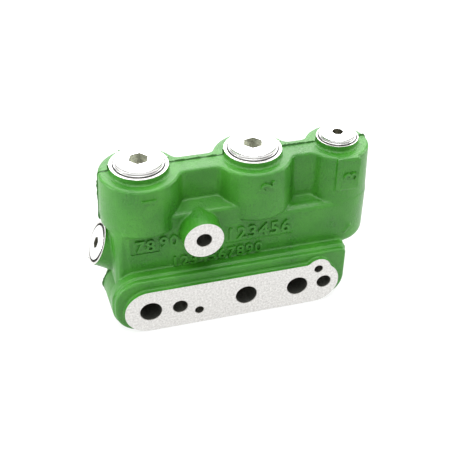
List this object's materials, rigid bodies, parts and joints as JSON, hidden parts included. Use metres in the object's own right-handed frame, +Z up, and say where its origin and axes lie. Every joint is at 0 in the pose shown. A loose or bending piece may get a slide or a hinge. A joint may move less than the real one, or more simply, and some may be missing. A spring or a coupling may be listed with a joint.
{
  "type": "hydraulic power beyond valve",
  "caption": "Cast iron power beyond valve block with a machined mounting face, plugged top ports, a side relief valve and a signal check valve.",
  "frame": {"origin": "on the mounting face, midway between the two flange bolt holes", "axes": "+X along the row of ports, +Y from the mounting face into the casting, +Z up out of the port mouths"},
  "size_m": [0.1646, 0.054, 0.0984],
  "materials": {
    "cast_green": "semi-gloss paint on cast iron, machined faces bare",
    "plug_steel": "bright zinc",
    "washer_steel": "bonded washer with a black rubber lip",
    "rubber_black": "matte",
    "inner_steel": "hardened and ground",
    "spring_steel": "oiled"
  },
  "bodies": {
    "block": {"valve_body": "cast_green", "return_port_plug": "plug_steel", "pressure_port_plug": "plug_steel", "signal_port_plug": "plug_steel", "relief_plug": "plug_steel", "return_port_washer": "washer_steel", "pressure_port_washer": "washer_steel", "signal_port_washer": "washer_steel", "relief_washer": "washer_steel", "relief_seat": "inner_steel", "spring_shim": "inner_steel", "check_cage": "inner_steel", "check_seat": "inner_steel", "signal_orifice": "inner_steel", "expander_sleeve": "inner_steel", "expander_ball": "inner_steel", "relief_seat_ring": "rubber_black", "relief_spring": "spring_steel"},
    "poppet": {"relief_poppet": "inner_steel"},
    "ball": {"check_ball": "inner_steel"}
  },
  "joints": [
    {"name": "relief_lift", "type": "slide", "parent": "block", "child": "poppet", "axis": [-0.9135, 0, 0.4067], "range_m": [0, 0.0035], "stiffness_N_per_m": 2000, "springref_m": -0.004, "deforming": ["relief_spring"]},
    {"name": "check_lift", "type": "slide", "parent": "block", "child": "ball", "axis": [0, 0, 1], "range_m": [0, 0.002]}
  ]
}
